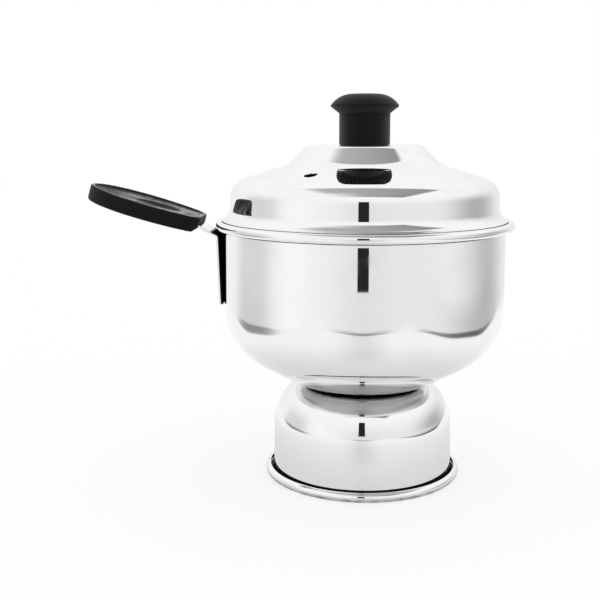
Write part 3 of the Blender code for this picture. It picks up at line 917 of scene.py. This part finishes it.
def in_folds(graph, place, profile):
    """1 in the narrow folds outside beside the rolled edges, where shade is painted, with a
    crinkled border.
    """
    crinkle = (graph.noise(place, 650.0, detail=3.0) - 0.5) * CRINKLE
    most = crinkle * 0.0
    away_from_axis = graph.part(profile, "X")
    for reach, height, size, uneven, least in SHEET_FOLDS:
        middle = (reach * MM, height * MM, 0.0)
        away = graph.vector("DISTANCE", profile, middle, output="Value") + crinkle * uneven
        fold = 1.0 - away.between(size * 0.9 * MM, size * 1.1 * MM)
        outside = away_from_axis.between((least - 0.05) * MM, least * MM)
        most = most.maths("MAXIMUM", most, fold * outside)
    return most


def behind_strap(graph, place, height):
    """1 on the side of the strap that faces the bowl, up to where it leaves the rim, for painted
    shade.
    """
    reach = graph.part(place, "X") * -1.0
    lean = (STRAP_BEND - STRAP_FOOT).normalized()
    rise = (GRIP_MOUTH - STRAP_BEND).normalized()
    sides = [
        (reach - STRAP_BEND.x) * -line.y + (height - STRAP_BEND.y) * line.x for line in (lean, rise)
    ]
    inside = reach.maths("MAXIMUM", *sides).between(*STRAP_BACK)
    return inside * (1.0 - reach.between(*STRAP_LEAVES_RIM))


print("folds with a black film:", len(SHEET_FOLDS))

# %% Build the polished and the satin steel
RING_PITCH = 0.35 * MM
RING_HEIGHT = 0.00012 * MM
WAVE_HEIGHT = 0.012 * MM
BOTTOM_FROM = (38.05 * MM, 38.2 * MM)
BOTTOM_TO = (49.6 * MM, 50.2 * MM)
BOTTOM_REACH = (45.9 * MM, 46.5 * MM)
FOOT_TO = (1.0 * MM, 2.4 * MM)
STEEL = grey(0.90)
SMUDGED_STEEL = grey(0.87)
# Painted shade for the bowl's bottom
BOTTOM_SHADE_STEEL = grey(0.46)
# Black painted shade for the folds, the foot and the back of the strap
BLACK_PAINTED_SHADE = grey(0.01)


def steel_material(name, roughness, smudge, ring, strap=False):
    """Steel of this roughness, with smudges, polishing rings and painted shade. The strap has its
    black painted shade behind only.
    """
    material = bpy.data.materials.new(name)
    graph = Graph(material)
    place = from_axis(graph)
    reach = reach_of(graph, place)
    height = graph.part(place, "Z")
    profile = graph.node("CombineXYZ", (reach, height, 0.0))
    rings = graph.noise(profile, 1.0 / RING_PITCH, detail=3.0)
    waves = graph.noise(place, 55.0, detail=1.0)
    smudges = graph.noise(place, 90.0, detail=4.0).between(0.52, 0.72)
    # Painted shade on the bowl's bottom, which is also rougher; less of the shade at a shallow
    # angle
    bottom = height.between(*BOTTOM_FROM) * (1.0 - height.between(*BOTTOM_TO))
    bottom = bottom * (1.0 - reach.between(*BOTTOM_REACH))
    dull_and_shaded = bottom * (1.0 - graph.facing().between(0.52, 0.66) * 0.85)
    if strap:
        # Black painted shade on the strap's back, where it faces the bowl
        dark = behind_strap(graph, place, height)
    else:
        # Black painted shade at the foot where it stands, broken into streaks
        streaks = graph.noise(place, 300.0, detail=3.0).between(0.3, 0.7)
        foot = (1.0 - height.between(*FOOT_TO)) * (streaks * 0.45 + 0.4)
        folds = in_folds(graph, place, profile)
        dark = folds.maths("MAXIMUM", folds, foot * 0.85)
    colour = graph.mix(smudges, STEEL, SMUDGED_STEEL)
    colour = graph.mix(dull_and_shaded, colour, BOTTOM_SHADE_STEEL)
    bumps = (waves - 0.5) * WAVE_HEIGHT + (rings - 0.5) * ring
    shader = graph.node("BsdfPrincipled", {
        "Base Color": colour,
        "Metallic": 1.0,
        "Roughness": smudges * smudge + dull_and_shaded * 0.22 + roughness,
        "Normal": graph.bump(bumps),
    }, output="BSDF")
    # The black painted shade is a black diffuse shader, mixed in by the masks above
    painted_shade = graph.node("BsdfDiffuse", {"Color": BLACK_PAINTED_SHADE}, output="BSDF")
    graph.surface(graph.node("MixShader", {0: dark, 1: shader, 2: painted_shade}, output="Shader"))
    return material


polished_steel = steel_material("polished_steel", 0.03, 0.05, RING_HEIGHT)
strap_steel = steel_material("strap_steel", 0.05, 0.05, RING_HEIGHT, strap=True)
satin_steel = steel_material("satin_steel", 0.22, 0.06, 4.0 * RING_HEIGHT)
print("steel:", polished_steel.name, strap_steel.name, satin_steel.name)

# %% [markdown]
# Black bakelite
#
# Moulded bakelite is a deep black with a matt, slightly uneven sheen. Its low specular level keeps
# a white room from turning it grey, and a fine bump breaks the sheen up as the mould's skin does.
# The sheen is strongest where the surface turns away, so it is painted into the colour by the
# angle.
# Thumbs rub the grip's face smoother, but not the deep thumb dish. The face gets a painted grey
# sheen and its lip a painted highlight, both mostly seen from a very shallow angle.

# %% Find the grip's face, its lip and where thumbs rub it, which also places the painted sheen
FACE_FROM = (1.6 * MM, 2.4 * MM)
FACE_TO = (6.0 * MM, 7.0 * MM)
LIP_FROM = (3.5 * MM, 3.75 * MM)
DISH_HALF_LENGTH = 9.6 * MM
DISH_HALF_WIDTH = 6.4 * MM
RUB_AND_SHEEN_MOST = (8.0 * MM, 15.0 * MM)
RUB_AND_SHEEN_LEAST = (24.0 * MM, 42.0 * MM)


def grip_face(graph, place, height):
    """Masks of the grip's face, of its lip, and of how much thumbs rub each place and sheen is
    painted.
    """
    out = graph.part(place, "X") * -1.0 - GRIP_MOUTH.x
    up = height - GRIP_MOUTH.y
    above = up * tongue.x - out * tongue.y
    along = out * tongue.x + up * tongue.y
    normal = graph.node("TexCoord", output="Normal")
    upwards = graph.vector("DOT_PRODUCT", normal, (tongue.y, 0.0, tongue.x), output="Value")
    face = above.between(*FACE_FROM) * (1.0 - above.between(*FACE_TO)) * upwards.between(0.6, 0.9)
    lip = above.between(*LIP_FROM) * face
    oval = graph.node("CombineXYZ", (
        (along - DISH_PLACE) / DISH_HALF_LENGTH, graph.part(place, "Y") / DISH_HALF_WIDTH, 0.0,
    ))
    dish = 1.0 - graph.vector("LENGTH", oval, output="Value").between(0.9, 1.02)
    rub_and_sheen = face * (1.0 - dish * 0.75) * (1.0 - along.between(*RUB_AND_SHEEN_LEAST) * 0.7)
    return face, lip, rub_and_sheen * (1.6 - along.between(*RUB_AND_SHEEN_MOST) * 0.6)


print(f"the face lies on a slope of {math.degrees(GRIP_TILT):.1f} degrees")

# %% Build the bakelite
STEM_FROM = (120.0 * MM, 130.0 * MM)
CAP_FROM = (145.0 * MM, 147.0 * MM)
BAKELITE = grey(0.012)
BAKELITE_SHEEN = grey(0.17)
# Painted sheen for the grip's face and painted highlight for its lip
PAINTED_FACE_SHEEN = grey(0.54)
PAINTED_LIP_HIGHLIGHT = grey(0.46)
MOULD_SKIN = 0.02 * MM


def bakelite_material():
    material = bpy.data.materials.new("black_bakelite")
    graph = Graph(material)
    place = from_axis(graph)
    height = graph.part(place, "Z")
    skin = graph.noise(place, 900.0, detail=3.0)
    wear = graph.noise(place, 130.0, detail=4.0).between(0.35, 0.65)
    grain = graph.noise(place, 1400.0).between(0.3, 0.7)
    face, lip, rub_and_sheen = grip_face(graph, place, height)
    rub_and_sheen = rub_and_sheen * (wear * 0.6 + 0.25) * (grain * 0.7 + 0.3)
    facing = graph.facing()
    grazing = facing.between(0.76, 0.86)
    # Painted sheen: full on the knob's stem, less on its cap and on the grip, none on the grip's
    # face
    share = height.between(*STEM_FROM) * 0.7 - height.between(*CAP_FROM) * 0.45 + 0.3
    colour = graph.mix(facing * facing * (1.0 - face) * share, BAKELITE, BAKELITE_SHEEN)
    # Painted sheen on the grip's face and painted highlight on its lip, mostly at a shallow angle
    colour = graph.mix(rub_and_sheen * (grazing * 0.95 + 0.05), colour, PAINTED_FACE_SHEEN)
    colour = graph.mix(lip * (wear * 0.4 + 0.3) * (grazing * 0.8 + 0.2), colour, PAINTED_LIP_HIGHLIGHT)
    graph.surface(graph.node("BsdfPrincipled", {
        "Base Color": colour,
        "Roughness": 0.5 - rub_and_sheen * 0.32,
        "Specular IOR Level": 0.02,
        "Normal": graph.bump((skin - 0.5) * MOULD_SKIN),
    }, output="BSDF"))
    return material


black_bakelite = bakelite_material()
print("moulded finish:", black_bakelite.name)

# %% [markdown]
# Brass and zinc
#
# The bushes are turned brass and the screws and the washer are zinc plated. Both are plain metals,
# a little rougher in some spots than in others, with a bump of a hundredth of a millimetre.

# %% Build the brass and the zinc
METAL_SKIN = 0.01 * MM


def plain_metal(name, colour, roughness):
    material = bpy.data.materials.new(name)
    graph = Graph(material)
    wear = graph.noise(from_axis(graph), 400.0, detail=3.0) - 0.5
    graph.surface(graph.node("BsdfPrincipled", {
        "Base Color": (*colour, 1.0),
        "Metallic": 1.0,
        "Roughness": wear * 0.15 + roughness,
        "Normal": graph.bump(wear * METAL_SKIN),
    }, output="BSDF"))
    return material


brass = plain_metal("brass", (0.80, 0.58, 0.26), 0.28)
zinc_plate = plain_metal("zinc_plate", (0.72, 0.73, 0.74), 0.26)
print("metal finishes:", brass.name, zinc_plate.name)

# %% [markdown]
# The white room
#
# A mirror shows its room, so the room matters more than the lamps. The photograph was taken in a
# small tent of white cloth with a slit for the lens. Only mirror reflections see that tent here:
# its walls are a formula of the direction, in the world's shader, so they cost nothing to render.
# Each fold of grey is a soft bump in the azimuth, which is counted from the camera to the right.
# The roof is a grey sheet high above, and a direction is followed up to it to find its edges.

# %% Write the tone of the tent's walls as a formula
# Each fold: its middle and its width in degrees, how square it is, and how much lighter it is
FOLDS = [
    (-160.0, 14.0, 2, -0.04), (-96.0, 21.0, 4, -0.225), (-55.0, 16.0, 2, 0.07),
    (0.0, 20.0, 2, -0.12), (38.0, 28.0, 2, -0.07), (111.0, 27.0, 2, -0.40), (160.0, 14.0, 2, -0.07),
]
FAR_FOLD = [(90.0, 24.0, 2, -0.17)]
WALL_TONE = 0.96


def azimuth_of(graph, direction):
    """Degrees round from the camera's side, for a direction or a place beside the axis."""
    sideways = graph.part(direction, "X")
    towards = graph.part(direction, "Y") * -1.0
    return sideways.maths("ARCTAN2", sideways, towards) * math.degrees(1.0)


def bumps_round(graph, azimuth, bumps):
    """Adds up bumps in the azimuth, each given by its middle, width, squareness and size."""
    total = azimuth * 0.0
    for middle, width, power, size in bumps:
        away = abs((azimuth - middle) / width) ** power
        total = total + away.maths("EXPONENT", away * -1.0) * size
    return total


print("folds in the tent's walls:", len(FOLDS + FAR_FOLD))

# %% Paint the world that reflections see
ROOF_HEIGHT = 380.0
ROOF_LEFT = (-230.0, -120.0)
ROOF_RIGHT = (235.0, 290.0)
ROOF_FRONT = (-345.0, -315.0)
ROOF_BACK = (80.0, 120.0)
ROOF_RISE = (20.0, 30.0)

world = bpy.context.scene.world or bpy.data.worlds.new("world")
bpy.context.scene.world = world
graph = Graph(world)
direction = graph.node("TexCoord", output="Generated")
azimuth = azimuth_of(graph, direction)
up = graph.part(direction, "Z")
height = up.maths("ARCSINE", up) * math.degrees(1.0)
walls = bumps_round(graph, azimuth, FOLDS + FAR_FOLD) * (1.0 - height.between(3.0, 32.0))
walls = walls + WALL_TONE + height.between(0.0, 45.0) * 0.06

rise = up.maths("MAXIMUM", up, 0.01)
right = graph.part(direction, "X") / rise * ROOF_HEIGHT
back = graph.part(direction, "Y") / rise * ROOF_HEIGHT
roof = right.between(*ROOF_LEFT) * (1.0 - right.between(*ROOF_RIGHT))
roof = roof * back.between(*ROOF_FRONT) * (1.0 - back.between(*ROOF_BACK))
roof = roof * height.between(*ROOF_RISE)
shade = 0.42 - right * 0.0005
corner = (1.0 - right.between(-160.0, 20.0)) * (1.0 - back.between(-220.0, -60.0))
shade = shade + corner * 0.35
tent = walls + roof * (shade - walls)
mirrored = graph.node("LightPath", output="Is Glossy Ray")
strength = mirrored * (tent - 1.0) + 1.0
graph.surface(graph.node(
    "Background", {"Color": grey(1.0), "Strength": strength}, output="Background"
), kind="OutputWorld")
bpy.context.scene.view_settings.view_transform = "Standard"
print("nodes in the room's formula:", len(graph.tree.nodes))

# %% [markdown]
# The floor and the slit for the lens
#
# The camera should see a white floor that still holds the object's soft shadow, so the floor's
# shader is mostly glow with a share of plain diffuse white. In a reflection the same floor runs out
# to the hem of the tent, a dark band that comes nearest in front and at both sides and fades out
# softly there, and takes the walls' tone beyond it. From underneath the floor is clear, so that the
# foot can be looked at. The slit stands close to the object, so it is a real dark panel.

# %% Work out the floor's tone in a reflection
# Bumps round the object, as in the walls: where the hem comes nearer than HEM_FAR, how dark it is,
# how far out it fades, and how dark the soft edge beyond it is
HEM_FAR = 0.40
HEM_NEAR = [(-84.0, 33.0, 4, -0.22), (0.0, 22.0, 2, -0.13), (82.0, 37.0, 4, -0.225)]
HEM_DARK = [
    (-89.0, 23.0, 4, 0.55), (0.0, 31.0, 2, 0.62), (45.0, 12.0, 2, 0.30), (81.0, 31.0, 4, 0.75),
]
HEM_FADE = [(-89.0, 25.0, 4, 0.40), (82.0, 30.0, 4, 0.12)]
HEM_SOFT = [(-89.0, 23.0, 4, 0.08), (85.0, 23.0, 2, 0.25)]
FRONT_SHADE = [(0.0, 13.0, 2, -0.17)]
FRONT_SHADE_FROM = (60.0 * MM, 110.0 * MM)
# Painted shade: in a reflection the floor is a little darker close under the object
UNDER_SHADE_TONE = 0.80
UNDER_TO = (40.0 * MM, 150.0 * MM)

cloth = bpy.data.materials.new("floor_cloth")
graph = Graph(cloth)
place = graph.node("TexCoord", output="Object")
reach = graph.vector("LENGTH", place, output="Value")
azimuth = azimuth_of(graph, place)
near = UNDER_SHADE_TONE + reach.between(*UNDER_TO) * 0.19
near = near + bumps_round(graph, azimuth, FRONT_SHADE) * reach.between(*FRONT_SHADE_FROM)
far = bumps_round(graph, azimuth, FOLDS) + WALL_TONE
far = far + bumps_round(graph, azimuth, FAR_FOLD) * reach.between(0.85, 1.6)
out = reach / (bumps_round(graph, azimuth, HEM_NEAR) + HEM_FAR)
tone = near + out.between(1.0, 1.2) * (far - near)
fade = bumps_round(graph, azimuth, HEM_FADE)
hem = out.between(0.96, 1.12) * (1.0 - (out - fade).between(1.15, 1.45))
hem = hem * (1.0 - reach.between(0.33, 0.41))
soft = out.between(1.0, 1.2) * (1.0 - out.between(2.2, 3.3))
tone = tone * (1.0 - hem * bumps_round(graph, azimuth, HEM_DARK))
tone = tone * (1.0 - soft * bumps_round(graph, azimuth, HEM_SOFT))
print("nodes in the floor's formula:", len(graph.tree.nodes))

# %% Lay the floor
FLOOR_SIZE = 6.0
FLOOR_BELOW = 0.02 * MM
FLOOR_SHARE = 0.25

seen = graph.node("LightPath", output="Is Camera Ray")
mirrored = graph.node("LightPath", output="Is Glossy Ray")
level = seen + mirrored * (tone - FLOOR_SHARE) / (1.0 - FLOOR_SHARE)
diffuse = graph.node("BsdfDiffuse", {"Color": grey(0.85)}, output="BSDF")
shaded = graph.node("BsdfDiffuse", {"Color": grey(1.0)}, output="BSDF")
glow = graph.node("Emission", {"Color": grey(1.0), "Strength": level}, output="Emission")
lit = graph.node("MixShader", {0: 1.0 - FLOOR_SHARE, 1: shaded, 2: glow}, output="Shader")
either = seen.maths("MAXIMUM", seen, mirrored)
above = graph.node("MixShader", {0: either, 1: diffuse, 2: lit}, output="Shader")
below = graph.node("BsdfTransparent", output="BSDF")
from_below = graph.node("NewGeometry", output="Backfacing")
graph.surface(graph.node("MixShader", {0: from_below, 1: above, 2: below}, output="Shader"))

nothing_selected()
bpy.ops.mesh.primitive_plane_add(size=FLOOR_SIZE, location=(axis_x, 0.0, -FLOOR_BELOW))
floor = name_piece("floor")
floor.data.materials.append(cloth)

# %% Stand up the slit
SLIT_WIDTH = 46.0 * MM
SLIT_LOW = 41.5 * MM
SLIT_HIGH = 235.0 * MM
SLIT_AWAY = 330.0 * MM
SLIT_X = axis_x - 0.5 * MM

nothing_selected()
bpy.ops.mesh.primitive_plane_add(
    size=1.0, rotation=(math.pi / 2.0, 0.0, 0.0),
    location=(SLIT_X, -SLIT_AWAY, (SLIT_LOW + SLIT_HIGH) / 2.0),
)
slit = name_piece("lens_slit")
slit.scale = (SLIT_WIDTH, SLIT_HIGH - SLIT_LOW, 1.0)
put_in_place(slit)
slit.visible_camera = False
slit.visible_diffuse = False
slit.visible_shadow = False
slit.visible_transmission = False
darkness = bpy.data.materials.new("slit_dark")
graph = Graph(darkness)
graph.surface(graph.node("Emission", {"Color": grey(0.02), "Strength": 1.0}, output="Emission"))
slit.data.materials.append(darkness)
print("stage:", floor.name, slit.name)

# %% [markdown]
# Each piece in its body's place
#
# The new pieces replace the coarse CAD nodes one for one and move with the same body, so the lid
# still lifts off. Two brass bushes are hidden inside the mouldings, and their CAD nodes are kept.

# %% Replace the CAD nodes and give every piece its finish
REPLACED = [
    (cup, "base_cup", "bowl", "polished_steel", polished_steel),
    (bowl, "steamer_bowl", "bowl", "polished_steel", polished_steel),
    (strap, "handle_bracket", "bowl", "polished_steel", strap_steel),
    (grip, "handle_grip", "bowl", "black_bakelite", black_bakelite),
    (strap_screw, "handle_screw", "bowl", "zinc_plate", zinc_plate),
    (lid, "lid_shell", "lid", "polished_steel", polished_steel),
    (knob, "lid_knob", "lid", "black_bakelite", black_bakelite),
    (knob_screw, "knob_screw", "lid", "zinc_plate", zinc_plate),
    (washer, "knob_washer", "lid", "zinc_plate", zinc_plate),
    (plate, "steam_plate", "plate", "satin_steel", satin_steel),
]
for piece, node, body, slot, material in REPLACED:
    piece.data.materials.clear()
    piece.data.materials.append(material)
    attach(piece, body)
    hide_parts(node)
for node in ("knob_insert", "handle_insert"):
    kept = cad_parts[node]
    kept.data.materials.clear()
    kept.data.materials.append(brass)
print("pieces in place:", len(REPLACED))
